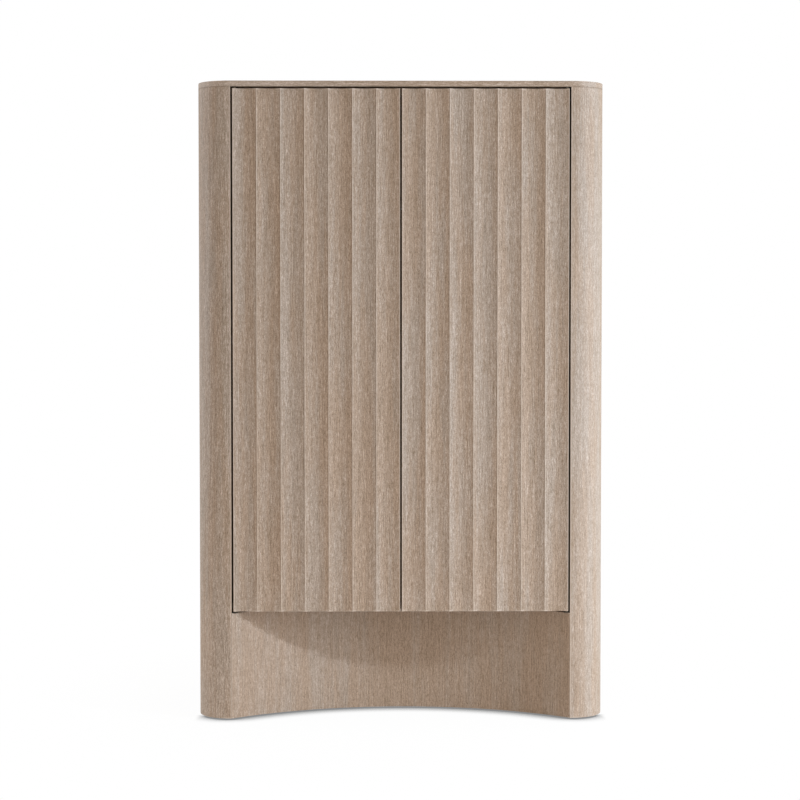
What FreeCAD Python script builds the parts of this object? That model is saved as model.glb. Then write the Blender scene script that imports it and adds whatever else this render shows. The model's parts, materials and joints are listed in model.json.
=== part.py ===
# Bar cabinet: two fluted doors between quarter-round corner posts, on a base with a concave front.
# Frame: origin on the floor at the centre of the footprint, X to the right, Y to the back, Z up.
# The front faces -Y. All lengths are in millimetres.

import FreeCAD
import Part
import math
import os

V = FreeCAD.Vector

# Overall size
WIDTH = 1066.0
DEPTH = 508.0
HEIGHT = 1670.0

# Top panel
TOP_THICKNESS = 15.0
TOP_EDGE_EASE = 1.5

# Corner posts and hollow sides
CORNER_RADIUS = 86.0
POST_FACE_FLAT = 4.0          # flat strip between the rounding and the door
POST_SIDE_FLAT = 4.0          # flat strip between the rounding and the outer side
SIDE_THICKNESS = 18.0
LINER_THICKNESS = 18.0
SPACER_THICKNESS = 18.0
SPACER_COUNT = 4

# Back panel and the rails under the top
BACK_THICKNESS = 9.0
BACK_INSET = 8.0
RAIL_THICKNESS = 18.0
FRONT_RAIL_WIDTH = 60.0
BACK_RAIL_HEIGHT = 100.0
ANCHOR_SPACING = 406.0        # wall anchor holes, one stud spacing apart
ANCHOR_DIAMETER = 6.0
ANCHOR_DROP = 54.0            # below the underside of the top

# Base
BASE_HEIGHT = 281.0
BASE_RECESS = 153.0           # depth of the concave arc at the middle
BASE_PANEL_THICKNESS = 20.0
BASE_RAIL_THICKNESS = 18.0
RIB_THICKNESS = 18.0
RIB_OFFSET = 150.0
CORNER_BLOCK_WIDTH = 50.0
GLUE_LINE = 0.2               # between the bent panel and what is fitted to its back
GLIDE_HEIGHT = 4.0
GLIDE_DIAMETER = 25.0
GLIDE_EDGE_EASE = 1.0
GLIDE_NAIL_DIAMETER = 3.0
GLIDE_NAIL_LENGTH = 14.0
GLIDE_BACK_INSET = 40.0

# Doors
DOOR_THICKNESS = 26.0
DOOR_SIDE_GAP = 4.0
DOOR_MEETING_GAP = 4.0
DOOR_TOP_PLAY = 0.5           # extra gap above the doors, which rest on their lower bushes
DOOR_EDGE_EASE = 1.5
FLUTE_COUNT = 7
FLUTE_DEPTH = 6.0
RIDGE_EASE = 1.2

# Corner pivot hinges
PIVOT_INSET = 6.0             # pin axis from the hinge edge of the door
PIVOT_SETBACK = 6.5           # pin axis behind the front of the door
PIN_DIAMETER = 4.0
PIN_REACH = 12.0              # pin beyond the bracket's tongue
PIN_CLEARANCE = 0.05
PIN_END_ROOM = 1.0            # bush bore beyond the end of the pin
BUSH_DIAMETER = 6.0
BUSH_FLANGE_DIAMETER = 8.4
BUSH_FLANGE_THICKNESS = 2.5
BRACKET_THICKNESS = 2.0
BRACKET_WIDTH = 14.0
BRACKET_LENGTH = 45.0
BRACKET_PIN_MARGIN = 4.5      # from the pin axis to the front and to the free end of the tongue
BRACKET_SCREW_FIRST = 16.0    # from the tongue's outer face to the first screw
BRACKET_SCREW_SPACING = 18.0
BRACKET_SCREW_COUNT = 2
MORTISE_CLEARANCE = 0.1

# Storage space
DECK_THICKNESS = 22.0
SHELF_THICKNESS = 22.0
FIXED_SHELF_TOP = 1012.0
PARTITION_THICKNESS = 18.0
SHELF_SETBACK = 3.0           # fixed shelf behind the front of the deck
PARTITION_SETBACK = 8.0       # partition behind the front of the fixed shelf
LOOSE_SHELF_SETBACK = 22.0
LOOSE_SHELF_BACK_GAP = 6.0
LOOSE_SHELF_END_GAP = 1.0
LOOSE_SHELF_THICKNESS = 20.0
GLASS_THICKNESS = 8.0
SHELF_PIN_DIAMETER = 5.0
SHELF_PIN_REACH = 10.0
SHELF_PIN_DEPTH = 10.0
SHELF_PIN_CLEARANCE = 0.05
SHELF_HOLE_PITCH = 32.0
SHELF_HOLE_ROWS = 7
SHELF_HOLE_INSET = 37.0       # from the front and back edges of the liners

# Bottle rack in the lower left bay
BOTTLE_TIERS = 4
BOTTLES_PER_TIER = 4
BOTTLE_SEAT_RADIUS = 42.0
BOTTLE_SEAT_DEPTH = 20.0
BOTTLE_RAIL_THICKNESS = 18.0
BOTTLE_RAIL_HEIGHT = 44.0
BOTTLE_RAIL_SETBACK = 30.0    # first rail behind the front of the deck
BOTTLE_RAIL_SPACING = 190.0   # from the front rail to the back rail

# Stemware rails under the top
STEM_RAIL_COUNT = 5
STEM_RAIL_WIDTH = 82.0
STEM_SLOT = 28.0
STEM_FLANGE_THICKNESS = 8.0
STEM_WEB_WIDTH = 20.0
STEM_CHANNEL = 14.0           # room for the foot of a glass, below the front rail
STEM_RAIL_END_GAP = 10.0

# Catches, strikes and bumpers
CATCH_LENGTH = 46.0
CATCH_DEPTH = 15.0
CATCH_HEIGHT = 13.0
CATCH_OFFSET = 16.0           # from the middle of the cabinet
CATCH_CLEARANCE = 0.2
CATCH_SCREW_INSET = 5.0
STRIKE_LENGTH = 36.0
STRIKE_HEIGHT = 13.0
STRIKE_THICKNESS = 1.6
STRIKE_SCREW_INSET = 6.0
BUMPER_DIAMETER = 8.0
BUMPER_THICKNESS = 2.3
BUMPER_CLEARANCE = 0.2
BUMPER_OFFSET = 40.0          # from the middle of the cabinet and from the posts

# Screws and dowels
SMALL_HEAD_DIAMETER = 5.6
SMALL_HEAD_HEIGHT = 1.6
SMALL_SHANK_DIAMETER = 3.0
SMALL_SCREW_LENGTH = 14.0
LARGE_HEAD_DIAMETER = 7.6
LARGE_HEAD_HEIGHT = 2.2
LARGE_SHANK_DIAMETER = 4.0
BACK_SCREW_BITE = 22.0
TOP_SCREW_BITE = 10.0
SCREW_CLEARANCE = 0.05
RECESS_LENGTH = 3.2           # cross recess in the screw heads
RECESS_WIDTH = 0.8
RECESS_DEPTH = 1.0
DOWEL_DIAMETER = 8.0
DOWEL_LENGTH = 20.0
DOWEL_CLEARANCE = 0.05
DOWEL_EDGE = 50.0             # from the ends of a joint to its dowels

# Places along a run, as shares of it
BACK_SCREW_SHARES = (0.04, 0.27, 0.5, 0.73, 0.96)
TOP_SCREW_SHARES = (-0.75, 0.0, 0.75)

# An edge this close to a place is taken to stand there
NEAR = 0.05

# Planes worked out from the sizes above
LEFT = -WIDTH / 2
RIGHT = WIDTH / 2
FRONT = -DEPTH / 2
BACK = DEPTH / 2
UNDER_TOP = HEIGHT - TOP_THICKNESS
POST_WIDTH = CORNER_RADIUS + POST_FACE_FLAT
POST_BACK = FRONT + CORNER_RADIUS + POST_SIDE_FLAT
INNER = WIDTH / 2 - POST_WIDTH
BACK_FACE = BACK - BACK_INSET
INSIDE_BACK = BACK_FACE - BACK_THICKNESS
DOOR_BACK = FRONT + DOOR_THICKNESS
INSIDE_FRONT = DOOR_BACK + BUMPER_THICKNESS + BUMPER_CLEARANCE
DOOR_LOW = BASE_HEIGHT + BRACKET_THICKNESS + BUSH_FLANGE_THICKNESS
DOOR_HIGH = UNDER_TOP - BRACKET_THICKNESS - DOOR_TOP_PLAY - BUSH_FLANGE_THICKNESS
DOOR_HINGE_EDGE = -INNER + DOOR_SIDE_GAP
DOOR_WIDTH = INNER - DOOR_SIDE_GAP - DOOR_MEETING_GAP / 2
FLUTE_WIDTH = DOOR_WIDTH / FLUTE_COUNT
PIVOT_X = DOOR_HINGE_EDGE + PIVOT_INSET
PIVOT_Y = FRONT + PIVOT_SETBACK
DECK_TOP = BASE_HEIGHT + DECK_THICKNESS
FIXED_SHELF_LOW = FIXED_SHELF_TOP - SHELF_THICKNESS
SHELF_FRONT = INSIDE_FRONT + SHELF_SETBACK
PARTITION_FRONT = SHELF_FRONT + PARTITION_SETBACK
RAIL_LOW = UNDER_TOP - RAIL_THICKNESS
RAIL_BACK = INSIDE_FRONT + FRONT_RAIL_WIDTH
BACK_RAIL_FRONT = INSIDE_BACK - RAIL_THICKNESS
BASE_ARC_RADIUS = (INNER ** 2 + BASE_RECESS ** 2) / (2 * BASE_RECESS)
BASE_ARC_CENTRE = FRONT + BASE_RECESS - BASE_ARC_RADIUS

parts = {}
dowels = []


# Shapes

def block(x, y, z):
    """Box from three (low, high) pairs."""
    return Part.makeBox(x[1] - x[0], y[1] - y[0], z[1] - z[0], V(x[0], y[0], z[0]))


def rod(diameter, length, start, direction):
    return Part.makeCylinder(diameter / 2, length, V(*start), V(*direction))


def prism(edges, low, high):
    """Solid of a closed plan outline, drawn at z = 0, between two heights."""
    face = Part.Face(Part.Wire(Part.__sortEdges__(edges)))
    face.translate(V(0, 0, low))
    return face.extrude(V(0, 0, high - low))


def arc(start, through, end):
    return Part.Arc(V(*start, 0), V(*through, 0), V(*end, 0)).toShape()


def chain(points):
    """Straight edges from each plan point to the next."""
    return [Part.LineSegment(V(*a, 0), V(*b, 0)).toShape() for a, b in zip(points, points[1:])]


def mirrored(shape):
    return shape.mirror(V(0, 0, 0), V(1, 0, 0))


def pair(shape):
    """A left-hand shape together with its right-hand twin."""
    return [shape, mirrored(shape)]


def upright_edges(shape, places):
    """The vertical edges of a shape that stand at the given (x, y) places."""
    found = []
    for edge in shape.Edges:
        ends = [vertex.Point for vertex in edge.Vertexes]
        for x, y in places:
            if all(abs(end.x - x) + abs(end.y - y) < NEAR for end in ends):
                found.append(edge)
    return found


def edges_at_height(shape, z):
    return [edge for edge in shape.Edges if all(abs(vertex.Point.z - z) < NEAR for vertex in edge.Vertexes)]


def drill(names, tool):
    for name in names:
        parts[name] = parts[name].cut(tool)


# Fasteners

def sunk_screw(seat, direction, length, grow=0.0):
    """Small countersunk screw with its head flush with the seat. Grow widens it into its hole."""
    head = SMALL_HEAD_DIAMETER / 2 + grow
    shank = SMALL_SHANK_DIAMETER / 2 + grow
    cone = Part.makeCone(head, shank, SMALL_HEAD_HEIGHT, V(*seat), V(*direction))
    return cone.fuse(rod(2 * shank, length + grow, seat, direction)).removeSplitter()


def cross_recess(face, direction):
    """Cross cut into a screw head, from the middle of its face."""
    reach = (-RECESS_LENGTH / 2, RECESS_LENGTH / 2)
    narrow = (-RECESS_WIDTH / 2, RECESS_WIDTH / 2)
    depth = (0, RECESS_DEPTH)
    cross = block(reach, narrow, depth).fuse(block(narrow, reach, depth))
    cross.Placement = FreeCAD.Placement(V(*face), FreeCAD.Rotation(V(0, 0, 1), V(*direction)))
    return cross


def sunk_screws(seats, direction, length, names):
    """Small screws at the seats, with their holes in the named pieces."""
    for seat in seats:
        drill(names, sunk_screw(seat, direction, length, SCREW_CLEARANCE))
    return [sunk_screw(seat, direction, length).cut(cross_recess(seat, direction)) for seat in seats]


def pan_screws(seats, direction, length, names):
    """Large screws whose round flat heads stand on the seats, with their holes in the named pieces."""
    screws = []
    for seat in seats:
        face = V(*seat) - V(*direction) * LARGE_HEAD_HEIGHT
        head = rod(LARGE_HEAD_DIAMETER, LARGE_HEAD_HEIGHT, face, direction)
        screw = head.fuse(rod(LARGE_SHANK_DIAMETER, length, seat, direction)).removeSplitter()
        screws.append(screw.cut(cross_recess(face, direction)))
        drill(names, rod(LARGE_SHANK_DIAMETER + 2 * SCREW_CLEARANCE, length + SCREW_CLEARANCE, seat, direction))
    return screws


def add_dowels(places, direction, names):
    """Dowels centred on a joint, half in each of the named pieces."""
    along = V(*direction)
    for place in places:
        start = V(*place) - along * (DOWEL_LENGTH / 2)
        dowels.append(rod(DOWEL_DIAMETER, DOWEL_LENGTH, start, direction))
        drill(names, rod(DOWEL_DIAMETER + 2 * DOWEL_CLEARANCE, DOWEL_LENGTH + 2 * DOWEL_CLEARANCE,
                         start - along * DOWEL_CLEARANCE, direction))


# Carcass

def quarter_arc(corner_x, centre_x):
    """Rounding of a front corner, from the outer side to the front."""
    across = centre_x - corner_x
    centre_y = FRONT + CORNER_RADIUS
    slant = math.sqrt(0.5)
    return arc((corner_x, centre_y), (centre_x - across * slant, centre_y - CORNER_RADIUS * slant),
               (centre_x, FRONT))


def make_top():
    left = LEFT + CORNER_RADIUS
    right = RIGHT - CORNER_RADIUS
    edges = [quarter_arc(LEFT, left), quarter_arc(RIGHT, right)]
    edges += chain([(left, FRONT), (right, FRONT)])
    edges += chain([(RIGHT, FRONT + CORNER_RADIUS), (RIGHT, BACK), (LEFT, BACK), (LEFT, FRONT + CORNER_RADIUS)])
    top = prism(edges, UNDER_TOP, HEIGHT)
    parts["top_panel"] = top.makeFillet(TOP_EDGE_EASE, edges_at_height(top, HEIGHT))


def make_left_side():
    """Corner post, outer side, inner liner and the spacers that keep the two panels apart."""
    heights = (GLIDE_HEIGHT, UNDER_TOP)
    edges = [quarter_arc(LEFT, LEFT + CORNER_RADIUS)]
    edges += chain([(LEFT + CORNER_RADIUS, FRONT), (-INNER, FRONT), (-INNER, POST_BACK), (LEFT, POST_BACK),
                    (LEFT, FRONT + CORNER_RADIUS)])
    parts["left_corner_post"] = prism(edges, *heights)
    parts["left_outer_side"] = block((LEFT, LEFT + SIDE_THICKNESS), (POST_BACK, BACK), heights)
    parts["left_inner_side"] = block((-INNER - LINER_THICKNESS, -INNER), (POST_BACK, INSIDE_BACK), heights)
    rise = (UNDER_TOP - GLIDE_HEIGHT - SPACER_THICKNESS) / (SPACER_COUNT - 1)
    spacers = []
    for i in range(SPACER_COUNT):
        low = GLIDE_HEIGHT + i * rise
        spacers.append(block((LEFT + SIDE_THICKNESS, -INNER - LINER_THICKNESS), (POST_BACK, INSIDE_BACK),
                             (low, low + SPACER_THICKNESS)))
    parts["left_side_spacers"] = Part.makeCompound(spacers)


def make_glides():
    """Nail-on glides under the posts and under the lowest spacers."""
    x = LEFT + POST_WIDTH / 2
    places = {"left_corner_post": (FRONT + POST_BACK) / 2, "left_side_spacers": INSIDE_BACK - GLIDE_BACK_INSET}
    glides = []
    for carrier, y in places.items():
        disc = rod(GLIDE_DIAMETER, GLIDE_HEIGHT, (x, y, 0), (0, 0, 1))
        disc = disc.makeFillet(GLIDE_EDGE_EASE, edges_at_height(disc, 0)[:1])
        top = (x, y, GLIDE_HEIGHT)
        nail = rod(GLIDE_NAIL_DIAMETER, GLIDE_NAIL_LENGTH, top, (0, 0, 1))
        glides += pair(disc.fuse(nail).removeSplitter())
        drill((carrier,), rod(GLIDE_NAIL_DIAMETER + 2 * SCREW_CLEARANCE, GLIDE_NAIL_LENGTH + SCREW_CLEARANCE,
                              top, (0, 0, 1)))
    parts["floor_glides"] = Part.makeCompound(glides)


def make_back_and_rails():
    parts["back_panel"] = block((LEFT + SIDE_THICKNESS, RIGHT - SIDE_THICKNESS), (INSIDE_BACK, BACK_FACE),
                                (GLIDE_HEIGHT, UNDER_TOP))
    parts["back_top_rail"] = block((-INNER, INNER), (BACK_RAIL_FRONT, INSIDE_BACK),
                                   (UNDER_TOP - BACK_RAIL_HEIGHT, UNDER_TOP))
    parts["top_front_rail"] = block((-INNER, INNER), (INSIDE_FRONT, RAIL_BACK), (RAIL_LOW, UNDER_TOP))
    for x in (-ANCHOR_SPACING / 2, ANCHOR_SPACING / 2):
        start = (x, BACK_RAIL_FRONT, UNDER_TOP - ANCHOR_DROP)
        drill(("back_top_rail", "back_panel"), rod(ANCHOR_DIAMETER, BACK - BACK_RAIL_FRONT, start, (0, 1, 0)))
    seats = [(share * INNER, (INSIDE_FRONT + RAIL_BACK) / 2, RAIL_LOW) for share in TOP_SCREW_SHARES]
    parts["top_fixing_screws"] = Part.makeCompound(
        pan_screws(seats, (0, 0, 1), RAIL_THICKNESS + TOP_SCREW_BITE, ("top_front_rail", "top_panel")))


def make_base():
    """Bent front panel, and the rail, ribs and corner blocks behind it."""
    heights = (GLIDE_HEIGHT, BASE_HEIGHT)
    middle = FRONT + BASE_RECESS
    back_radius = BASE_ARC_RADIUS + BASE_PANEL_THICKNESS
    back_end = BASE_ARC_CENTRE + math.sqrt(back_radius ** 2 - INNER ** 2)
    edges = [arc((-INNER, FRONT), (0, middle), (INNER, FRONT)),
             arc((INNER, back_end), (0, middle + BASE_PANEL_THICKNESS), (-INNER, back_end))]
    edges += chain([(INNER, FRONT), (INNER, back_end)])
    edges += chain([(-INNER, back_end), (-INNER, FRONT)])
    parts["base_front_panel"] = prism(edges, *heights)
    rail_front = INSIDE_BACK - BASE_RAIL_THICKNESS
    parts["base_back_rail"] = block((-INNER, INNER), (rail_front, INSIDE_BACK), heights)
    panel_room = rod(2 * (back_radius + GLUE_LINE), HEIGHT, (0, BASE_ARC_CENTRE, 0), (0, 0, 1))
    rib = block((-RIB_OFFSET - RIB_THICKNESS / 2, -RIB_OFFSET + RIB_THICKNESS / 2), (FRONT, rail_front), heights)
    parts["base_ribs"] = Part.makeCompound(pair(rib.cut(panel_room)))
    corner = block((-INNER, -INNER + CORNER_BLOCK_WIDTH), (FRONT, POST_BACK), heights)
    parts["base_corner_blocks"] = Part.makeCompound(pair(corner.cut(panel_room)))


# Doors, hinges and catches

def make_left_door():
    """Panel whose front is a row of concave flutes meeting in ridges."""
    far_edge = DOOR_HINGE_EDGE + DOOR_WIDTH
    edges = []
    for i in range(FLUTE_COUNT):
        x = DOOR_HINGE_EDGE + i * FLUTE_WIDTH
        edges.append(arc((x, FRONT), (x + FLUTE_WIDTH / 2, FRONT + FLUTE_DEPTH), (x + FLUTE_WIDTH, FRONT)))
    edges += chain([(far_edge, FRONT), (far_edge, DOOR_BACK), (DOOR_HINGE_EDGE, DOOR_BACK),
                    (DOOR_HINGE_EDGE, FRONT)])
    door = prism(edges, DOOR_LOW, DOOR_HIGH)
    ridges = [(DOOR_HINGE_EDGE + i * FLUTE_WIDTH, FRONT) for i in range(1, FLUTE_COUNT)]
    door = door.makeFillet(RIDGE_EASE, upright_edges(door, ridges))
    corners = [(DOOR_HINGE_EDGE, FRONT), (far_edge, FRONT)]
    parts["left_door_panel"] = door.makeFillet(DOOR_EDGE_EASE, upright_edges(door, corners))


def bracket_span(seat, inward, length):
    """Heights of a stretch of bracket, measured from its seat towards the door."""
    return sorted((seat, seat + inward * length))


def make_left_pivot(name, seat, inward, play):
    """Bracket let into the post, the pin fixed in it, and the bush in the door. The tongue lies at the seat."""
    front = PIVOT_Y - BRACKET_PIN_MARGIN
    y = (front, front + BRACKET_WIDTH)
    let_in = -INNER - BRACKET_THICKNESS
    axis = (0, 0, inward)
    foot = (PIVOT_X, PIVOT_Y, seat)
    bore = PIN_DIAMETER + 2 * PIN_CLEARANCE
    flange = block((let_in, -INNER), y, bracket_span(seat, inward, BRACKET_LENGTH))
    tongue = block((let_in, PIVOT_X + BRACKET_PIN_MARGIN), y, bracket_span(seat, inward, BRACKET_THICKNESS))
    bracket = flange.fuse(tongue).removeSplitter().cut(rod(PIN_DIAMETER, BRACKET_THICKNESS, foot, axis))
    parts[f"left_{name}_pivot_bracket"] = bracket
    drill(("left_corner_post",),
          block((let_in - MORTISE_CLEARANCE, -INNER), (y[0] - MORTISE_CLEARANCE, y[1] + MORTISE_CLEARANCE),
                bracket_span(seat, inward, BRACKET_LENGTH + MORTISE_CLEARANCE)))
    pin = rod(PIN_DIAMETER, BRACKET_THICKNESS + PIN_REACH, foot, axis)
    bush_foot = (PIVOT_X, PIVOT_Y, seat + inward * (BRACKET_THICKNESS + play))
    depth = PIN_REACH + PIN_END_ROOM
    bush = rod(BUSH_FLANGE_DIAMETER, BUSH_FLANGE_THICKNESS, bush_foot, axis)
    bush = bush.fuse(rod(BUSH_DIAMETER, depth, bush_foot, axis)).removeSplitter()
    bush = bush.cut(rod(bore, depth, bush_foot, axis))
    drill(("left_door_panel",), rod(BUSH_DIAMETER + 2 * PIN_CLEARANCE, depth + PIN_CLEARANCE, bush_foot, axis))
    return pin, bush


def make_left_pivots():
    ends = (("lower", BASE_HEIGHT, 1, 0), ("upper", UNDER_TOP, -1, DOOR_TOP_PLAY))
    pins = []
    bushes = []
    seats = []
    for name, seat, inward, play in ends:
        pin, bush = make_left_pivot(name, seat, inward, play)
        pins.append(pin)
        bushes.append(bush)
        for i in range(BRACKET_SCREW_COUNT):
            along = BRACKET_SCREW_FIRST + i * BRACKET_SCREW_SPACING
            seats.append((-INNER, PIVOT_Y - BRACKET_PIN_MARGIN + BRACKET_WIDTH / 2, seat + inward * along))
    parts["left_pivot_pins"] = Part.makeCompound(pins)
    parts["left_door_bushes"] = Part.makeCompound(bushes)
    screws = sunk_screws(seats, (-1, 0, 0), SMALL_SCREW_LENGTH,
                         ("left_corner_post", "left_lower_pivot_bracket", "left_upper_pivot_bracket"))
    parts["bracket_screws"] = Part.makeCompound(screws + [mirrored(screw) for screw in screws])


def make_left_catch():
    """Magnetic catch under the fixed shelf, and the strike plate on the back of the door."""
    middle = -CATCH_OFFSET - CATCH_LENGTH / 2
    front = DOOR_BACK + STRIKE_THICKNESS + CATCH_CLEARANCE
    low = FIXED_SHELF_LOW - CATCH_HEIGHT
    parts["left_magnetic_catch"] = block((middle - CATCH_LENGTH / 2, middle + CATCH_LENGTH / 2),
                                         (front, front + CATCH_DEPTH), (low, FIXED_SHELF_LOW))
    reach = CATCH_LENGTH / 2 - CATCH_SCREW_INSET
    seats = [(middle + reach * side, front + CATCH_DEPTH / 2, low) for side in (-1, 1)]
    length = CATCH_HEIGHT + SMALL_SCREW_LENGTH
    screws = sunk_screws(seats, (0, 0, 1), length, ("left_magnetic_catch", "fixed_shelf"))
    twins = sunk_screws([(-x, y, z) for x, y, z in seats], (0, 0, 1), length, ("fixed_shelf",))
    parts["catch_screws"] = Part.makeCompound(screws + twins)
    height = FIXED_SHELF_LOW - CATCH_HEIGHT / 2
    face = DOOR_BACK + STRIKE_THICKNESS
    parts["left_strike_plate"] = block((middle - STRIKE_LENGTH / 2, middle + STRIKE_LENGTH / 2), (DOOR_BACK, face),
                                       (height - STRIKE_HEIGHT / 2, height + STRIKE_HEIGHT / 2))
    reach = STRIKE_LENGTH / 2 - STRIKE_SCREW_INSET
    seats = [(middle + reach * side, face, height) for side in (-1, 1)]
    parts["left_strike_screws"] = Part.makeCompound(
        sunk_screws(seats, (0, -1, 0), SMALL_SCREW_LENGTH, ("left_strike_plate", "left_door_panel")))


def mirror_left_to_right():
    for name in [name for name in parts if name.startswith("left_")]:
        parts[name.replace("left_", "right_")] = mirrored(parts[name])


# Storage space

def make_boards():
    """Deck, fixed shelf and the partition between them."""
    parts["deck_panel"] = block((-INNER, INNER), (INSIDE_FRONT, INSIDE_BACK), (BASE_HEIGHT, DECK_TOP))
    parts["fixed_shelf"] = block((-INNER, INNER), (SHELF_FRONT, INSIDE_BACK), (FIXED_SHELF_LOW, FIXED_SHELF_TOP))
    half = PARTITION_THICKNESS / 2
    parts["centre_partition"] = block((-half, half), (PARTITION_FRONT, INSIDE_BACK), (DECK_TOP, FIXED_SHELF_LOW))


def join_boards():
    """Dowels from the deck and the fixed shelf into the liners and the partition."""
    rows = (POST_BACK + DOWEL_EDGE, INSIDE_BACK - DOWEL_EDGE)
    boards = {"deck_panel": BASE_HEIGHT + DECK_THICKNESS / 2, "fixed_shelf": FIXED_SHELF_TOP - SHELF_THICKNESS / 2}
    for board, z in boards.items():
        add_dowels([(-INNER, y, z) for y in rows], (1, 0, 0), (board, "left_inner_side"))
        add_dowels([(INNER, y, z) for y in rows], (1, 0, 0), (board, "right_inner_side"))
    add_dowels([(0, y, DECK_TOP) for y in rows], (0, 0, 1), ("deck_panel", "centre_partition"))
    add_dowels([(0, y, FIXED_SHELF_LOW) for y in rows], (0, 0, 1), ("fixed_shelf", "centre_partition"))


def shelf_pins(face_x, inward, middle_z, names):
    """Two pins for one end of a shelf, and the columns of holes that they stand in."""
    pins = []
    for y in (POST_BACK + SHELF_HOLE_INSET, INSIDE_BACK - SHELF_HOLE_INSET):
        start = face_x - inward * SHELF_PIN_DEPTH
        pins.append(rod(SHELF_PIN_DIAMETER, SHELF_PIN_DEPTH + SHELF_PIN_REACH, (start, y, middle_z), (inward, 0, 0)))
        for row in range(SHELF_HOLE_ROWS):
            z = middle_z + (row - (SHELF_HOLE_ROWS - 1) / 2) * SHELF_HOLE_PITCH
            drill(names, rod(SHELF_PIN_DIAMETER + 2 * SHELF_PIN_CLEARANCE, SHELF_PIN_DEPTH + SHELF_PIN_CLEARANCE,
                             (face_x, y, z), (-inward, 0, 0)))
    return pins


def loose_shelf(low_x, high_x, middle_z, thickness):
    low = middle_z + SHELF_PIN_DIAMETER / 2
    return block((low_x + LOOSE_SHELF_END_GAP, high_x - LOOSE_SHELF_END_GAP),
                 (INSIDE_FRONT + LOOSE_SHELF_SETBACK, INSIDE_BACK - LOOSE_SHELF_BACK_GAP), (low, low + thickness))


def make_loose_shelves():
    """Glass shelf across the upper space and wooden shelf in the lower right bay."""
    half = PARTITION_THICKNESS / 2
    upper = (FIXED_SHELF_TOP + UNDER_TOP) / 2
    lower = (DECK_TOP + FIXED_SHELF_LOW) / 2
    parts["glass_shelf"] = loose_shelf(-INNER, INNER, upper, GLASS_THICKNESS)
    parts["lower_shelf"] = loose_shelf(half, INNER, lower, LOOSE_SHELF_THICKNESS)
    pins = shelf_pins(-INNER, 1, upper, ("left_inner_side",))
    pins += shelf_pins(INNER, -1, upper, ("right_inner_side",))
    pins += shelf_pins(half, 1, lower, ("centre_partition",))
    pins += shelf_pins(INNER, -1, lower, ("right_inner_side",))
    parts["shelf_pins"] = Part.makeCompound(pins)


def bottle_rail(front, low):
    """Rail with a round seat for each bottle of a tier."""
    far = -PARTITION_THICKNESS / 2
    top = low + BOTTLE_RAIL_HEIGHT
    rail = block((-INNER, far), (front, front + BOTTLE_RAIL_THICKNESS), (low, top))
    pitch = (far + INNER) / BOTTLES_PER_TIER
    for i in range(BOTTLES_PER_TIER):
        centre = (-INNER + (i + 0.5) * pitch, front, top + BOTTLE_SEAT_RADIUS - BOTTLE_SEAT_DEPTH)
        rail = rail.cut(rod(2 * BOTTLE_SEAT_RADIUS, BOTTLE_RAIL_THICKNESS, centre, (0, 1, 0)))
    return rail


def make_bottle_rack():
    tier_rise = (FIXED_SHELF_LOW - DECK_TOP) / BOTTLE_TIERS
    first = INSIDE_FRONT + BOTTLE_RAIL_SETBACK
    rails = {"front": first, "back": first + BOTTLE_RAIL_SPACING}
    for tier in range(BOTTLE_TIERS):
        low = DECK_TOP + tier * tier_rise
        for place, front in rails.items():
            name = f"bottle_rail_{tier + 1}_{place}"
            parts[name] = bottle_rail(front, low)
            y = front + BOTTLE_RAIL_THICKNESS / 2
            z = low + BOTTLE_RAIL_HEIGHT / 2
            add_dowels([(-INNER, y, z)], (1, 0, 0), (name, "left_inner_side", "left_corner_post"))
            add_dowels([(-PARTITION_THICKNESS / 2, y, z)], (1, 0, 0), (name, "centre_partition"))


def make_stemware_rails():
    """T-shaped rails under the top, with a slot for the stems between each two."""
    y = (RAIL_BACK + STEM_RAIL_END_GAP, BACK_RAIL_FRONT - STEM_RAIL_END_GAP)
    web_low = RAIL_LOW - STEM_CHANNEL
    for i in range(STEM_RAIL_COUNT):
        x = (i - (STEM_RAIL_COUNT - 1) / 2) * (STEM_RAIL_WIDTH + STEM_SLOT)
        web = block((x - STEM_WEB_WIDTH / 2, x + STEM_WEB_WIDTH / 2), y, (web_low, UNDER_TOP))
        flange = block((x - STEM_RAIL_WIDTH / 2, x + STEM_RAIL_WIDTH / 2), y,
                       (web_low - STEM_FLANGE_THICKNESS, web_low))
        parts[f"stemware_rail_{i + 1}"] = web.fuse(flange).removeSplitter()


def make_bumpers():
    z = BASE_HEIGHT + DECK_THICKNESS / 2
    bumpers = []
    for x in (-BUMPER_OFFSET, -INNER + BUMPER_OFFSET):
        bumpers += pair(rod(BUMPER_DIAMETER, BUMPER_THICKNESS, (x, INSIDE_FRONT, z), (0, -1, 0)))
    parts["door_bumpers"] = Part.makeCompound(bumpers)


def make_back_screws():
    """Screws through the back panel into the back edges of the liners."""
    screws = []
    for side, liner in ((-1, "left_inner_side"), (1, "right_inner_side")):
        x = side * (INNER + LINER_THICKNESS / 2)
        seats = [(x, BACK_FACE, GLIDE_HEIGHT + share * (UNDER_TOP - GLIDE_HEIGHT)) for share in BACK_SCREW_SHARES]
        screws += pan_screws(seats, (0, -1, 0), BACK_THICKNESS + BACK_SCREW_BITE, ("back_panel", liner))
    parts["back_panel_screws"] = Part.makeCompound(screws)


make_top()
make_left_side()
make_glides()
make_back_and_rails()
make_base()
make_left_door()
make_left_pivots()
make_boards()
make_left_catch()
mirror_left_to_right()
join_boards()
make_loose_shelves()
make_bottle_rack()
make_stemware_rails()
make_bumpers()
make_back_screws()
parts["carcass_dowels"] = Part.makeCompound(dowels)

os.makedirs("parts", exist_ok=True)
for node, shape in parts.items():
    shape.exportStep(f"parts/{node}.step")
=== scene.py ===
"""Looks of the bar cabinet: brushed, pale-pored veneer outside, the fittings inside, and a white studio."""
import itertools
import json
import math

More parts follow.
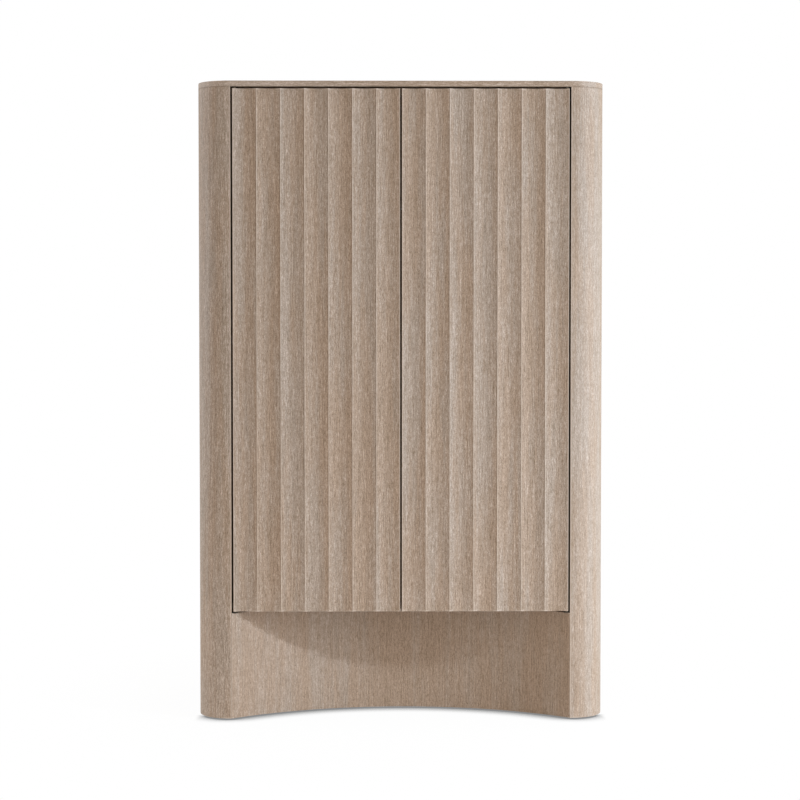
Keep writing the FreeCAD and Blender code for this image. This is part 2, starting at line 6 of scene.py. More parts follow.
import bpy
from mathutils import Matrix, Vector


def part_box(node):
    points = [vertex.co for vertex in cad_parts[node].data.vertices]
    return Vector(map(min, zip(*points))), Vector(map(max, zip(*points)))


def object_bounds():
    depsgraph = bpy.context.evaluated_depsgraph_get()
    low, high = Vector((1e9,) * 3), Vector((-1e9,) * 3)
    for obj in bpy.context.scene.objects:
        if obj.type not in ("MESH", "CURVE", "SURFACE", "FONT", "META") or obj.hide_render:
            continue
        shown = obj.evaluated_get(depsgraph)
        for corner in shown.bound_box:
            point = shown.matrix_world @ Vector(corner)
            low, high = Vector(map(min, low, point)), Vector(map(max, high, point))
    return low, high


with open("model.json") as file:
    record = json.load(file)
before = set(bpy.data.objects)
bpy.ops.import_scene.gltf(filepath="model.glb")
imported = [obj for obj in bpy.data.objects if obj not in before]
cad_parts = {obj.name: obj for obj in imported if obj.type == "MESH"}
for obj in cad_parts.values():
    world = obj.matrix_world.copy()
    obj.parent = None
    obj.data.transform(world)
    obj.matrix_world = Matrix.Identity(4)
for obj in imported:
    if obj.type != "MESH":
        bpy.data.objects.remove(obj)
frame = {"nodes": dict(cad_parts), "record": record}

cad_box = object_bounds()
nodes = frame["nodes"]

# Lengths are in metres, angles in radians and colours linear, unless a line says otherwise
MILLIMETRE = 0.001
X, Y, Z = 0, 1, 2
LOW, HIGH = 0, 1
WHITE = (1.0, 1.0, 1.0, 1.0)
ONES = (1.0, 1.0, 1.0)
NO_SHIFT = (0.0, 0.0, 0.0)

# Edges rounded by modifiers
EDGE_EASE = 0.8 * MILLIMETRE
EASE_SEGMENTS = 2
WELD_DISTANCE = 0.001 * MILLIMETRE
SHARP_ANGLE = math.radians(35)
NORMAL_WEIGHT = 80             # how far the large faces rule the shading of the roundings

# Camera, from the photo's perspective
PICTURE = 800                  # width and height of the picture, in pixels
SENSOR = 36.0                  # in millimetres
FOCAL_PIXELS = 1971.95
PRINCIPAL_RISE_PIXELS = 25.1   # the optical axis above the middle of the picture
CAMERA_X = -0.0580
CAMERA_DISTANCE = 5.1422       # in front of the cabinet's front
CAMERA_HEIGHT = 1.0816
CAMERA_YAW = 0.01079           # to the right
CAMERA_PITCH = 0.03421         # downwards

# Lamps: place, size, and the brightness that the lamp alone gives a white surface facing it
LAMPS = {"key_lamp": ((4.39, -2.61, 3.06), 0.36, 0.62),
         "soft_lamp": ((2.0, -1.0, 0.70), 1.0, 0.38),
         "fill_lamp": ((-3.6, 0.3, 1.5), 1.6, 0.32)}
LAMP_COLOUR = (0.847, 1.0, 1.189)
AMBIENT_LEVEL = 0.68
AMBIENT_COLOUR = (1.144, 0.99, 0.857, 1.0)

# Floor
FLOOR_REACH = 30.0
FLOOR_DROP = 0.2 * MILLIMETRE  # below the glides
FLOOR_ALBEDO = 0.88
FAR_FLOOR_ALBEDO = 0.30        # beyond the white sheet that the cabinet stands on
SHEET_REACH = (1.2, 2.4)       # the sheet ends softly between these distances
GLOW_REACH = (0.4, 1.2)        # between these distances from the middle of the cabinet,
GLOW_SHARES = (0.96, 1.0)      # the share of plain white in the floor that is seen changes like this

# Painted soft shadow in the floor's glow, from ambient occlusion round what stands on it
SHADOW_REACH = 0.085
SHADOW_SAMPLES = 16
SHADOW_OPEN = (0.36, 0.90)     # where these shares of what is above are open,
SHADOW_LEVELS = (0.26, 1.0)    # the floor has these levels, and smooth ones in between
SIDE_ANGLES = (0.9, 1.4)       # round a corner, from the front, the shadow ends between these angles
CORNER_INSIDE = 1 / 3          # and from this share of a corner's width inside the cabinet's width
CORNER_OUTSIDE = 1 / 8         # to this share outside
SIDE_START = 1 / 2             # within this share of its width behind a corner, the side's shadow begins,
SIDE_SPREAD = 0.08             # which widens by this share of the way to the back
SIDE_FADE = 12.0 * MILLIMETRE  # and ends over this width

# Wood tones
TAUPE = (0.333, 0.261, 0.199, 1.0)
BROWN = (0.343, 0.245, 0.169, 1.0)
# The next colour is pale wear, and also the painted highlight on the lit side of each ridge
WORN_AND_HIGHLIT = (0.520, 0.420, 0.335, 1.0)
BARE = (0.69, 0.58, 0.46, 1.0)
CORE_PALE = (0.60, 0.46, 0.31, 1.0)
CORE_DARK = (0.46, 0.32, 0.19, 1.0)

# Grain of the veneer: the noise of each layer, with its cells per metre (the last along the grain), detail,
# roughness and the shift of its pattern
GRAIN_LAYERS = {"cloud": ((26.0, 26.0, 2.0), 3.0, 0.55, NO_SHIFT),
                "streak": ((150.0, 150.0, 4.0), 2.0, 0.55, NO_SHIFT),
                "line": ((700.0, 700.0, 9.0), 1.0, 0.5, NO_SHIFT),
                "fibre": ((740.0, 740.0, 45.0), 1.0, 0.5, (5.1, 3.7, 9.2)),
                "fleck": ((700.0, 700.0, 130.0), 1.0, 0.5, (7.3, 1.9, 4.1)),
                "speck": ((520.0, 520.0, 420.0), 0.0, 0.5, (1.3, 6.6, 2.2))}
SWAY_CELLS = (9.0, 9.0, 2.2)   # the grain sways to the side
SWAY_DETAIL = 1.0
SWAY_WIDTH = 0.012
UNSWAYED = ("speck",)
CLOUD_BROWN = (0.32, 0.68)     # between these values of the cloud, taupe turns brown
LAYER_BROWN = {"streak": 1.4, "fibre": -1.3, "fleck": -1.3}
CLOUD_SHADE = -0.22
LAYER_SHADE = {"streak": -0.20, "line": 0.90, "fibre": 1.12, "fleck": 1.25, "speck": 0.75}
GRAIN_TINT = (0.93, 1.0, 1.17)  # how strongly shade acts on red, green and blue: pale grain is greyer
# Contrast of the grain, 1 on the pieces that aren't named
GRAIN_CONTRAST = {"base_front_panel": 0.85, "right_corner_post": 0.85, "left_corner_post": 1.12}
MOST_NOISE = (0.3, 0.7)        # nearly all of a noise lies between these
VENEER_ROUGHNESS = (0.58, 0.70)
FLECK_DULL = (0.5, 0.8)        # flecks between these values add
FLECK_ROUGHNESS = (0.0, 0.08)  # a roughness between these,
FLECK_PITS = (0.55, 0.75)      # and flecks between these values
PIT_DEPTHS = (0.0, 0.3)        # are pits with depths between these shares of the relief
FIBRE_RELIEF = 0.5
LINE_RELIEF = 0.5
VENEER_RELIEF = 0.15 * MILLIMETRE
VENEER_BUMP = 0.5

# Strips of veneer
FLUTES_PER_DOOR = 7
LEAF_WIDTH = 0.19              # veneer leaves on the wide panels
LEAF_START = -0.155            # a joint between two leaves
NUMBERS_PER_PIECE = 17.0       # strips are numbered from another multiple of this on each piece
LOG_ACROSS = 0.731             # how far apart two strips lie in the log, across it
LOG_ALONG = 1.377              # and along it
TONE_RANGE = 0.14              # how far the strips differ in tone
TONE_SHADE = -0.30             # a tone of 1 changes the shade by this
# Tones that change along X: from one share of the width to another, and the tone at each of them. On the
# base the darker, browner middle and right are painted shade where it lies in shade; the top panel is paler
# towards its left end, and the right door darker and browner towards its right edge
WIDTH_TONES_AND_SHADE = {"top_panel": ((0.0, 0.5), (-0.6, 0.0)),
               "base_front_panel": ((0.0, 0.5), (0.0, 0.37)),
               "right_door_panel": ((0.55, 0.95), (0.0, 0.24))}

# Wear, a painted highlight, painted shade and painted light
WEAR_REACH = 5.0 * MILLIMETRE  # how far the wear, and the painted highlight on the ridges, spreads from an edge
WEAR_SHARE = 0.8
RIDGE_HIGHLIGHT = 1.6 * MILLIMETRE  # the lit side of a ridge gets a painted highlight, as pale as wear this far from an edge,
JOINT_WEAR = 3.8 * MILLIMETRE  # a joint in the veneer like this
BASE_WEAR = 2.2 * MILLIMETRE   # and the ends of the bent base like this
PAINTED_SHADE_REACH = 3.0 * MILLIMETRE  # how far the painted shade spreads: before each ridge of the flutes, on the side turned from the lamps, along level joints and along the top panel's edges
PAINTED_SHADE_LEVEL = 0.64
PAINTED_LIGHT_REACH = (6.0 * MILLIMETRE, 26.0 * MILLIMETRE)  # painted light beyond the painted shade, which lightens each flute's side turned from the lamps, ends between these distances from it
PAINTED_LIGHT_LEVEL = 1.07
GAP_PAINTED_SHADE_REACH = (0.3 * MILLIMETRE, 1.2 * MILLIMETRE)  # painted shade on the side of a gap ends between these
GAP_PAINTED_SHADE = 0.55
# Ends that meet another piece: the axis, the end, and how far from an edge the wear would be the same
JOINED_ENDS = {"top_panel": ((Z, LOW, WEAR_REACH),),
               "outer_side": ((Y, LOW, WEAR_REACH), (Z, HIGH, WEAR_REACH)),
               "corner_post": ((Y, HIGH, WEAR_REACH), (Z, HIGH, WEAR_REACH)),
               "base_front_panel": ((X, LOW, BASE_WEAR), (X, HIGH, BASE_WEAR))}
DARKENED_EDGES = ("top_panel",)  # painted shade and painted light on the edges instead of wear
BARE_BELOW = ("deck_panel",)   # left bare on the underside
UNDERSIDE = (-0.3, -0.7)       # a face turns into an underside between these values of upward


# Shader graphs

def put(tree, kind, inputs, **settings):
    """New node with its settings and inputs; an input is a value or another node's socket."""
    made = tree.nodes.new(kind)
    for key, value in settings.items():
        setattr(made, key, value)
    for key, value in inputs.items():
        socket = made.inputs[key]
        if isinstance(value, bpy.types.NodeSocket):
            tree.links.new(value, socket)
        else:
            socket.default_value = value
    return made


def calc(tree, operation, *values):
    return put(tree, "ShaderNodeMath", dict(enumerate(values)), operation=operation).outputs[0]


def vector_calc(tree, operation, *values):
    return put(tree, "ShaderNodeVectorMath", dict(enumerate(values)), operation=operation).outputs[0]


def combine(tree, x, y, z):
    return put(tree, "ShaderNodeCombineXYZ", {0: x, 1: y, 2: z}).outputs[0]


def split(tree, vector):
    """The X, Y and Z of a vector."""
    return list(put(tree, "ShaderNodeSeparateXYZ", {0: vector}).outputs)


def blend(tree, factor, a, b):
    """Colour from a to b."""
    return put(tree, "ShaderNodeMix", {0: factor, 6: a, 7: b}, data_type="RGBA").outputs[2]


def span(tree, value, low, high, out_low=0.0, out_high=1.0):
    """Smooth step of a value from one range to another."""
    inputs = {"Value": value, "From Min": low, "From Max": high, "To Min": out_low, "To Max": out_high}
    return put(tree, "ShaderNodeMapRange", inputs, interpolation_type="SMOOTHSTEP").outputs[0]


def noise(tree, place, cells, detail=2.0, roughness=0.5):
    """Noise with its own number of cells per metre along each axis."""
    stretched = vector_calc(tree, "MULTIPLY", place, cells)
    inputs = {"Vector": stretched, "Scale": 1.0, "Detail": detail, "Roughness": roughness}
    return put(tree, "ShaderNodeTexNoise", inputs).outputs[0]


def centred(tree, value):
    """A noise, which is about one half, moved to about 0."""
    return calc(tree, "SUBTRACT", value, 0.5)


def lighter(tree, value, amount):
    """Factor about 1 from a noise."""
    return calc(tree, "MULTIPLY_ADD", centred(tree, value), amount, 1.0)


def object_place(tree):
    return put(tree, "ShaderNodeTexCoord", {}).outputs["Object"]


def upward(tree):
    """1 on faces that look up, 0 on upright ones, -1 on faces that look down."""
    return split(tree, put(tree, "ShaderNodeTexCoord", {}).outputs["Normal"])[Z]


def bump(tree, height, depth, strength):
    inputs = {"Height": height, "Distance": depth, "Strength": strength}
    return put(tree, "ShaderNodeBump", inputs).outputs[0]


def new_material(name, **constants):
    """Material with its constant values set on the shader itself."""
    material = bpy.data.materials.new(name)
    material.use_nodes = True
    shader = material.node_tree.nodes["Principled BSDF"]
    for key, value in constants.items():
        shader.inputs[key.replace("_", " ")].default_value = value
    return material, material.node_tree, shader


def link_looks(tree, shader, colour, roughness, normal=None):
    tree.links.new(colour, shader.inputs["Base Color"])
    tree.links.new(roughness, shader.inputs["Roughness"])
    if normal is not None:
        tree.links.new(normal, shader.inputs["Normal"])


# Veneer

def make_veneer_group():
    """Grain of the brushed veneer, along Z of Place. Edge is the distance from an edge, which is pale with
    wear; on the flutes it is the distance from a ridge into its lit side, which gets a painted highlight.
    The painted-shade distance is from where shade is painted in: before each ridge, on the side turned from
    the lamps, and along level joints and the top panel's edges; painted light lightens the veneer a little
    beyond it. Wall is the distance from the side of a gap, which gets no wear and gets painted shade."""
    tree = bpy.data.node_groups.new("veneer_grain", "ShaderNodeTree")
    face = tree.interface
    face.new_socket("Place", in_out="INPUT", socket_type="NodeSocketVector")
    for name in ("Tone", "Contrast", "Edge", "Painted Shade", "Wall"):
        face.new_socket(name, in_out="INPUT", socket_type="NodeSocketFloat")
    face.new_socket("Colour", in_out="OUTPUT", socket_type="NodeSocketColor")
    face.new_socket("Roughness", in_out="OUTPUT", socket_type="NodeSocketFloat")
    face.new_socket("Height", in_out="OUTPUT", socket_type="NodeSocketFloat")
    given = tree.nodes.new("NodeGroupInput").outputs
    place, tone = given["Place"], given["Tone"]

    sway = calc(tree, "MULTIPLY", noise(tree, place, SWAY_CELLS, SWAY_DETAIL), SWAY_WIDTH)
    swayed = vector_calc(tree, "ADD", place, combine(tree, sway, 0.0, 0.0))
    layers = {}
    for name, (cells, detail, roughness, shift) in GRAIN_LAYERS.items():
        shifted = vector_calc(tree, "ADD", place if name in UNSWAYED else swayed, shift)
        layers[name] = noise(tree, shifted, cells, detail, roughness)

    brown = calc(tree, "ADD", span(tree, layers["cloud"], *CLOUD_BROWN), tone)
    for name, amount in LAYER_BROWN.items():
        brown = calc(tree, "MULTIPLY_ADD", centred(tree, layers[name]), amount, brown)
    # The sides of gaps get no wear and get painted shade
    open_face = span(tree, given["Wall"], *GAP_PAINTED_SHADE_REACH)
    factors = [lighter(tree, layers[name], calc(tree, "MULTIPLY", given["Contrast"], amount))
               for name, amount in LAYER_SHADE.items()]
    factors.append(calc(tree, "MULTIPLY_ADD", tone, TONE_SHADE, 1.0))
    # Painted shade where the painted-shade distance is small, and painted light beyond it
    factors.append(span(tree, given["Painted Shade"], PAINTED_SHADE_REACH, 0.0, 1.0, PAINTED_SHADE_LEVEL))
    factors.append(span(tree, given["Painted Shade"], *PAINTED_LIGHT_REACH, PAINTED_LIGHT_LEVEL, 1.0))
    factors.append(calc(tree, "MULTIPLY_ADD", open_face, 1.0 - GAP_PAINTED_SHADE, GAP_PAINTED_SHADE))
    shade = lighter(tree, layers["cloud"], CLOUD_SHADE)
    for factor in factors:
        shade = calc(tree, "MULTIPLY", shade, factor)
    change = calc(tree, "SUBTRACT", shade, 1.0)
    tinted = vector_calc(tree, "MULTIPLY_ADD", combine(tree, change, change, change), GRAIN_TINT, ONES)
    colour = vector_calc(tree, "MULTIPLY", blend(tree, brown, TAUPE, BROWN), tinted)
    # Pale wear on edges and joints, and a painted highlight on the lit side of each ridge
    worn_and_highlit = calc(tree, "MULTIPLY", span(tree, given["Edge"], WEAR_REACH, 0.0, 0.0, WEAR_SHARE), open_face)
    colour = blend(tree, worn_and_highlit, colour, WORN_AND_HIGHLIT)

    rough = calc(tree, "ADD", span(tree, layers["fibre"], *MOST_NOISE, *VENEER_ROUGHNESS),
                 span(tree, layers["fleck"], *FLECK_DULL, *FLECK_ROUGHNESS))
    height = calc(tree, "ADD", calc(tree, "MULTIPLY", layers["fibre"], FIBRE_RELIEF),
                  calc(tree, "MULTIPLY", layers["line"], LINE_RELIEF))
    height = calc(tree, "SUBTRACT", height, span(tree, layers["fleck"], *FLECK_PITS, *PIT_DEPTHS))
    result = tree.nodes.new("NodeGroupOutput")
    tree.links.new(colour, result.inputs["Colour"])
    tree.links.new(rough, result.inputs["Roughness"])
    tree.links.new(height, result.inputs["Height"])
    return tree


def edge_distance(tree, axes, low, high):
    """Second smallest distance from the planes of a box: small only near its edges."""
    near = []
    for axis in (X, Y, Z):
        from_low = calc(tree, "SUBTRACT", axes[axis], low[axis])
        from_high = calc(tree, "SUBTRACT", high[axis], axes[axis])
        near.append(calc(tree, "ABSOLUTE", calc(tree, "MINIMUM", from_low, from_high)))
    lesser = calc(tree, "MINIMUM", near[X], near[Y])
    greater = calc(tree, "MAXIMUM", near[X], near[Y])
    return calc(tree, "MAXIMUM", lesser, calc(tree, "MINIMUM", greater, near[Z]))


def distance_from(tree, value, plane):
    return calc(tree, "ABSOLUTE", calc(tree, "SUBTRACT", value, plane))


veneer_group = make_veneer_group()
seeds = itertools.count(1)


def veneer(name, node, along, pitch, start, contrast=1.0, ridges=False, meets=(), walls=()):
    """Veneer for one piece, in strips of one pitch across the grain, each cut from another part of the log.
    Meets names the ends of the piece that meet another piece, as JOINED_ENDS does; a level one gets painted
    shade along the joint. The faces at the places of the walls, along X, are the sides of gaps, which get
    painted shade."""
    material, tree, shader = new_material(name, Specular_IOR_Level=0.5)
    low, high = ends = [Vector(corner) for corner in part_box(node)]
    axes = split(tree, object_place(tree))
    x, y, z = axes
    across = y if along == "X" else x
    strip = calc(tree, "DIVIDE", calc(tree, "SUBTRACT", across, start), pitch)
    number = calc(tree, "ADD", calc(tree, "FLOOR", strip), NUMBERS_PER_PIECE * next(seeds))
    grain = combine(tree, *{"X": (y, z, x), "Y": (x, z, y), "Z": (x, y, z)}[along])
    shift = combine(tree, calc(tree, "MULTIPLY", number, LOG_ACROSS), 0.0,
                    calc(tree, "MULTIPLY", number, LOG_ALONG))

    from_start = calc(tree, "MULTIPLY", calc(tree, "FRACT", strip), pitch)
    to_end = calc(tree, "SUBTRACT", pitch, from_start)
    joint = calc(tree, "ADD", calc(tree, "MINIMUM", from_start, to_end), JOINT_WEAR)
    painted_shade = pitch
    # On the flutes the pale mark lies only on the lit side of each ridge, a painted highlight, and the
    # painted shade lies before each ridge, on the side turned from the lamps
    if ridges:
        joint = calc(tree, "ADD", from_start, RIDGE_HIGHLIGHT)
        painted_shade = to_end
    # A level joint with another piece gets painted shade along it
    for axis, end, wear in meets:
        if axis == Z:
            level = calc(tree, "ABSOLUTE", upward(tree))
            painted_shade = calc(tree, "MULTIPLY_ADD", level, pitch, distance_from(tree, z, ends[end].z))
        ends[end][axis] += wear if end == HIGH else -wear
    edge = calc(tree, "MINIMUM", edge_distance(tree, axes, low, high), joint)
    # The top panel's edges get painted shade and painted light instead of wear
    if node in DARKENED_EDGES:
        painted_shade = calc(tree, "MINIMUM", painted_shade, edge)
        edge = pitch
    # Distance from the sides of gaps, which get painted shade
    wall = pitch
    for plane in walls:
        wall = calc(tree, "MINIMUM", wall, distance_from(tree, x, plane))

    lot = put(tree, "ShaderNodeTexWhiteNoise", {"W": number}, noise_dimensions="1D").outputs[0]
    tone = calc(tree, "MULTIPLY", centred(tree, lot), TONE_RANGE)
    # Tone along X; on the base it is painted shade on its middle and right
    if node in WIDTH_TONES_AND_SHADE:
        shares, tones = WIDTH_TONES_AND_SHADE[node]
        left, right = (corner.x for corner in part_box(node))
        places = [left + share * (right - left) for share in shares]
        tone = calc(tree, "ADD", tone, span(tree, x, *places, *tones))

    inputs = {"Place": vector_calc(tree, "ADD", grain, shift), "Tone": tone, "Contrast": contrast,
              "Edge": edge, "Painted Shade": painted_shade, "Wall": wall}
    looks = put(tree, "ShaderNodeGroup", {}, node_tree=veneer_group)
    for key, value in inputs.items():
        if isinstance(value, float):
            looks.inputs[key].default_value = value
        else:
            tree.links.new(value, looks.inputs[key])
    colour = looks.outputs["Colour"]
    if node in BARE_BELOW:
        colour = blend(tree, span(tree, upward(tree), *UNDERSIDE), colour, BARE)
    link_looks(tree, shader, colour, looks.outputs["Roughness"],
               bump(tree, looks.outputs["Height"], VENEER_RELIEF, VENEER_BUMP))
    return material


# Other materials

def core_wood(name):
    """Planed softwood: rings along X, seen on what stays inside the carcass."""
    ring_cells, ring_values = (6.0, 90.0, 90.0), (0.38, 0.64)
    fibre_cells, fibre_values, fibre_shares = (40.0, 900.0, 900.0), (0.45, 0.8), (0.0, 0.3)
    roughness, relief, strength = (0.62, 0.78), 0.2 * MILLIMETRE, 0.6
    material, tree, shader = new_material(name, Specular_IOR_Level=0.3)
    place = object_place(tree)
    rings = noise(tree, place, ring_cells, detail=3.0, roughness=0.55)
    fibre = noise(tree, place, fibre_cells)
    colour = blend(tree, span(tree, rings, *ring_values), CORE_PALE, CORE_DARK)
    colour = blend(tree, span(tree, fibre, *fibre_values, *fibre_shares), colour, CORE_DARK)
    link_looks(tree, shader, colour, span(tree, fibre, *MOST_NOISE, *roughness),
               bump(tree, fibre, relief, strength))
    return material


def metal(name, light, dark, roughness, metallic, cells):
    """Metal with fine tooling lines and a little tarnish."""
    tarnish_cells, tarnish_values, tarnish_shares = (90.0, 90.0, 90.0), (0.40, 0.72), (0.0, 0.8)
    smoother, rougher = 0.08, 0.12
    relief, strength = 0.03 * MILLIMETRE, 0.5
    material, tree, shader = new_material(name, Metallic=metallic)
    place = object_place(tree)
    lines = noise(tree, place, cells)
    tarnish = noise(tree, place, tarnish_cells, detail=3.0, roughness=0.6)
    colour = blend(tree, span(tree, tarnish, *tarnish_values, *tarnish_shares), light, dark)
    rough = span(tree, lines, *MOST_NOISE, roughness - smoother, roughness + rougher)
    link_looks(tree, shader, colour, rough, bump(tree, lines, relief, strength))
    return material


def moulded(name, light, dark, roughness, specular):
    """Moulded plastic or rubber with a fine spark-eroded texture."""
    grain_cells, cloud_cells, cloud_values = (1800.0, 1800.0, 1800.0), (60.0, 60.0, 60.0), (0.35, 0.7)
    variation, relief, strength = 0.08, 0.04 * MILLIMETRE, 0.7
    material, tree, shader = new_material(name, Specular_IOR_Level=specular)
    place = object_place(tree)
    grain = noise(tree, place, grain_cells)
    cloud = noise(tree, place, cloud_cells, detail=3.0)
    colour = blend(tree, span(tree, cloud, *cloud_values), light, dark)
    rough = span(tree, grain, *MOST_NOISE, roughness - variation, roughness + variation)
    link_looks(tree, shader, colour, rough, bump(tree, grain, relief, strength))
    return material


def clear_glass(name, greener, clearer):
    """Float glass, a little green, with faint wiping marks."""
    wipe_cells, wipe_values, tint_cells = (14.0, 30.0, 30.0), (0.45, 0.75), (8.0, 8.0, 8.0)
    roughness = (0.015, 0.07)
    material, tree, shader = new_material(name, Transmission_Weight=1.0, IOR=1.52)
    place = object_place(tree)
    wiped = noise(tree, place, wipe_cells, detail=3.0, roughness=0.6)
    tint = noise(tree, place, tint_cells)
    colour = blend(tree, tint, greener, clearer)
    link_looks(tree, shader, colour, span(tree, wiped, *wipe_values, *roughness))
    return material


# Finishes

def ease_edges(node):
    """Small roundings where the CAD solid has sharp edges."""
    piece = nodes[node]
    piece.modifiers.new("weld", "WELD").merge_threshold = WELD_DISTANCE
    rounding = piece.modifiers.new("ease", "BEVEL")
    rounding.width = EDGE_EASE
    rounding.segments = EASE_SEGMENTS
    rounding.limit_method = "ANGLE"
    rounding.angle_limit = SHARP_ANGLE
    rounding.miter_outer = "MITER_ARC"
    rounding.use_clamp_overlap = True
    shading = piece.modifiers.new("shading", "WEIGHTED_NORMAL")
    shading.keep_sharp = True
    shading.weight = NORMAL_WEIGHT


def dress(node, material):
    mesh = nodes[node].data
    mesh.materials.clear()
    mesh.materials.append(material)


upright = [n for n in nodes if n.endswith(("corner_post", "outer_side", "inner_side"))]
upright += ["base_front_panel", "back_panel", "centre_partition"]
lengthwise = ["top_panel", "deck_panel", "fixed_shelf", "lower_shelf", "top_front_rail", "back_top_rail"]
lengthwise += [n for n in nodes if n.startswith("bottle_rail")]
crosswise = [n for n in nodes if n.startswith("stemware_rail")]
for along, group in (("Z", upright), ("X", lengthwise), ("Y", crosswise)):
    for node in sorted(group):
        meets = next((ends for kind, ends in JOINED_ENDS.items() if node.endswith(kind)), ())
        walls = []
        if node.endswith("corner_post"):
            walls = [min(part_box(node)[LOW].x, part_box(node)[HIGH].x, key=abs)]
        contrast = GRAIN_CONTRAST.get(node, 1.0)
        dress(node, veneer(f"{node}_veneer", node, along, LEAF_WIDTH, LEAF_START, contrast,
                           meets=meets, walls=walls))
for node in ("left_door_panel", "right_door_panel"):
    low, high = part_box(node)
    pitch = (high.x - low.x) / FLUTES_PER_DOOR
    dress(node, veneer(f"{node}_veneer", node, "Z", pitch, low.x, ridges=True, walls=(low.x, high.x)))

# Materials by the slots of the record; the veneered pieces are dressed above
slot_finish = {
    "core_wood": core_wood("core_wood"),
    "dark_bronze": metal("dark_bronze", light=(0.055, 0.046, 0.038, 1.0), dark=(0.030, 0.025, 0.021, 1.0),
                         roughness=0.38, metallic=0.85, cells=(900.0, 60.0, 60.0)),
    "bush_bronze": metal("bush_bronze", light=(0.10, 0.072, 0.045, 1.0), dark=(0.06, 0.045, 0.030, 1.0),
                         roughness=0.45, metallic=1.0, cells=(60.0, 60.0, 3000.0)),
    "steel": metal("zinc_steel", light=(0.62, 0.63, 0.65, 1.0), dark=(0.44, 0.44, 0.45, 1.0),
                   roughness=0.30, metallic=1.0, cells=(700.0, 700.0, 700.0)),
    "glide_nylon": moulded("glide_nylon", light=(0.10, 0.09, 0.085, 1.0), dark=(0.06, 0.055, 0.05, 1.0),
                           roughness=0.5, specular=0.45),
    "catch_plastic": moulded("catch_plastic", light=(0.17, 0.125, 0.092, 1.0),
                             dark=(0.13, 0.095, 0.07, 1.0), roughness=0.48, specular=0.45),
    "soft_rubber": moulded("soft_rubber", light=(0.63, 0.61, 0.58, 1.0), dark=(0.52, 0.50, 0.47, 1.0),
                           roughness=0.66, specular=0.4),
    "clear_glass": clear_glass("clear_glass", greener=(0.90, 0.965, 0.935, 1.0),
                               clearer=(0.93, 0.975, 0.955, 1.0)),
}
for entry in frame["record"]["subparts"]:
    if entry["material_slot"] in slot_finish:
        dress(entry["node"], slot_finish[entry["material_slot"]])

eased = [n for n in nodes if n.endswith(("corner_post", "outer_side", "door_panel"))]
eased += [n for n in nodes if n.startswith("bottle_rail")]
eased += ["top_panel", "base_front_panel", "lower_shelf", "glass_shelf"]
for node in eased:
    ease_edges(node)


# Studio

def lamp(name, place, size, level):
    """Square area lamp that looks at the middle of the cabinet."""
    low, high = cad_box
    sight = (low + high) / 2 - Vector(place)
    data = bpy.data.lights.new(name, "AREA")
    data.shape = "SQUARE"
    data.size = size
    data.color = LAMP_COLOUR
    data.energy = level * math.pi ** 2 * sight.length_squared
    made = bpy.data.objects.new(name, data)
    made.location = place
    made.rotation_mode = "QUATERNION"
    made.rotation_quaternion = sight.to_track_quat("-Z", "Y")
    bpy.context.scene.collection.objects.link(made)


def background_seen(tree):
    """1 for the rays that show the background: straight from the camera, mirrored or through glass."""
    path = put(tree, "ShaderNodeLightPath", {})
    seen = calc(tree, "MAXIMUM", path.outputs["Is Camera Ray"], path.outputs["Is Glossy Ray"])
    return calc(tree, "MAXIMUM", seen, path.outputs["Is Transmission Ray"])


def make_world():
    world = bpy.data.worlds.new("studio")
    world.use_nodes = True
    tree = world.node_tree
    tree.nodes.clear()
    ambient = put(tree, "ShaderNodeBackground", {"Color": AMBIENT_COLOUR, "Strength": AMBIENT_LEVEL})
    white = put(tree, "ShaderNodeBackground", {"Color": WHITE, "Strength": 1.0})
    seen = background_seen(tree)
    mixed = put(tree, "ShaderNodeMixShader", {0: seen, 1: ambient.outputs[0], 2: white.outputs[0]})
    put(tree, "ShaderNodeOutputWorld", {0: mixed.outputs[0]})
    bpy.context.scene.world = world


def painted_floor_shadow(tree):
    """Brightness of the floor's glow, with a painted soft shadow from ambient occlusion. In front of the
    cabinet the shadow ends round the corners. From the corners to the back it stays close to the sides."""
    half_width = cad_box[HIGH].x
    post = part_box("right_corner_post")
    corner = post[HIGH].x - post[LOW].x
    corner_back = cad_box[LOW].y + corner
    x, y, _ = split(tree, object_place(tree))
    from_middle = calc(tree, "ABSOLUTE", x)
    outward = calc(tree, "MAXIMUM", calc(tree, "SUBTRACT", from_middle, half_width - corner), 0.0)
    forward = calc(tree, "MAXIMUM", calc(tree, "SUBTRACT", corner_back, y), 0.0)
    behind = calc(tree, "MAXIMUM", calc(tree, "SUBTRACT", y, corner_back), 0.0)
    beside = span(tree, calc(tree, "ARCTAN2", outward, forward), *SIDE_ANGLES)
    outside = span(tree, from_middle, half_width - corner * CORNER_INSIDE,
                   half_width + corner * CORNER_OUTSIDE)
    bare = calc(tree, "MAXIMUM", beside, outside)
    beyond = calc(tree, "SUBTRACT", calc(tree, "SUBTRACT", from_middle, half_width),
                  calc(tree, "MULTIPLY", behind, SIDE_SPREAD))
    change = calc(tree, "SUBTRACT", span(tree, beyond, -SIDE_FADE, 0.0), bare)
    bare = calc(tree, "MULTIPLY_ADD", change, span(tree, behind, 0.0, corner * SIDE_START), bare)
    cover = put(tree, "ShaderNodeAmbientOcclusion", {"Distance": SHADOW_REACH}, samples=SHADOW_SAMPLES)
    shaded = span(tree, cover.outputs["AO"], *SHADOW_OPEN, *SHADOW_LEVELS)
    return calc(tree, "MAXIMUM", shaded, bare)


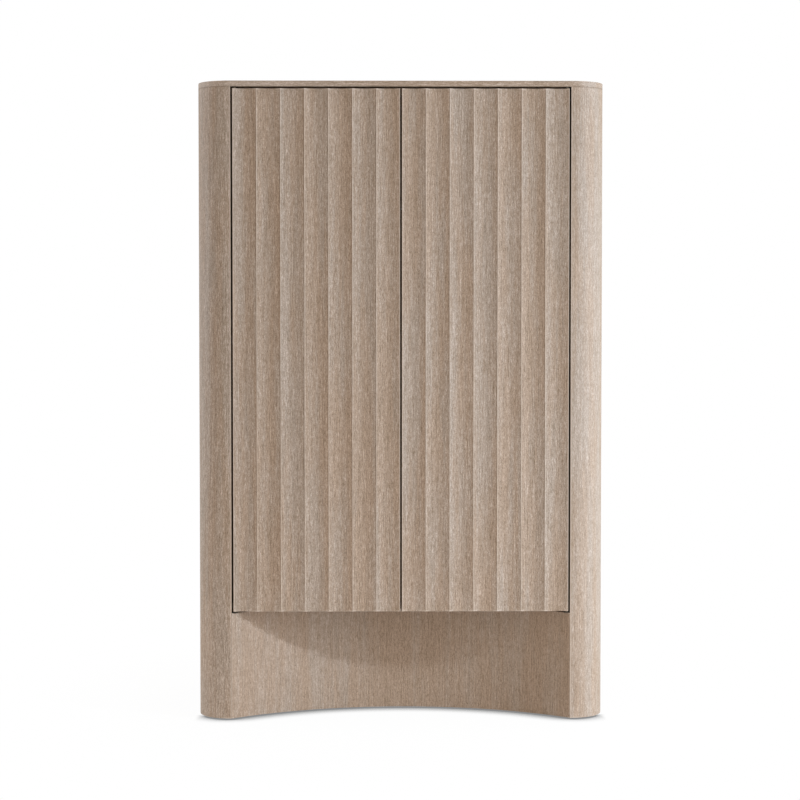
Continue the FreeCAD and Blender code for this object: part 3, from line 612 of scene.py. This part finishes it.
def make_floor():
    """White floor that fades into the white background. Its glow carries a painted soft shadow, and its
    small matte share keeps the cabinet's real shadow.
    """
    mesh = bpy.data.meshes.new("floor")
    corners = [(-FLOOR_REACH, -FLOOR_REACH), (FLOOR_REACH, -FLOOR_REACH), (FLOOR_REACH, FLOOR_REACH),
               (-FLOOR_REACH, FLOOR_REACH)]
    mesh.from_pydata([(x, y, -FLOOR_DROP) for x, y in corners], [], [(0, 1, 2, 3)])
    floor = bpy.data.objects.new("floor", mesh)
    bpy.context.scene.collection.objects.link(floor)
    material = bpy.data.materials.new("white_floor")
    material.use_nodes = True
    tree = material.node_tree
    tree.nodes.clear()
    level = painted_floor_shadow(tree)
    # The glow carries the painted shadow
    glow = put(tree, "ShaderNodeEmission", {"Color": combine(tree, level, level, level), "Strength": 1.0})
    away = put(tree, "ShaderNodeVectorMath", {0: object_place(tree)}, operation="LENGTH").outputs["Value"]
    albedo = span(tree, away, *SHEET_REACH, FLOOR_ALBEDO, FAR_FLOOR_ALBEDO)
    matte = put(tree, "ShaderNodeBsdfDiffuse", {"Color": combine(tree, albedo, albedo, albedo)})
    factor = calc(tree, "MULTIPLY", span(tree, away, *GLOW_REACH, *GLOW_SHARES), background_seen(tree))
    mixed = put(tree, "ShaderNodeMixShader", {0: factor, 1: matte.outputs[0], 2: glow.outputs[0]})
    put(tree, "ShaderNodeOutputMaterial", {0: mixed.outputs[0]})
    mesh.materials.append(material)


def make_camera():
    data = bpy.data.cameras.new("camera")
    data.sensor_width = SENSOR
    data.lens = SENSOR * FOCAL_PIXELS / PICTURE
    data.shift_y = -PRINCIPAL_RISE_PIXELS / PICTURE
    camera = bpy.data.objects.new("camera", data)
    camera.location = (CAMERA_X, cad_box[LOW].y - CAMERA_DISTANCE, CAMERA_HEIGHT)
    camera.rotation_euler = (math.pi / 2 - CAMERA_PITCH, 0.0, -CAMERA_YAW)
    bpy.context.scene.collection.objects.link(camera)
    bpy.context.scene.camera = camera


for name, (place, size, level) in LAMPS.items():
    lamp(name, place, size, level)
make_world()
make_floor()
make_camera()
bpy.context.scene.view_settings.view_transform = "Standard"
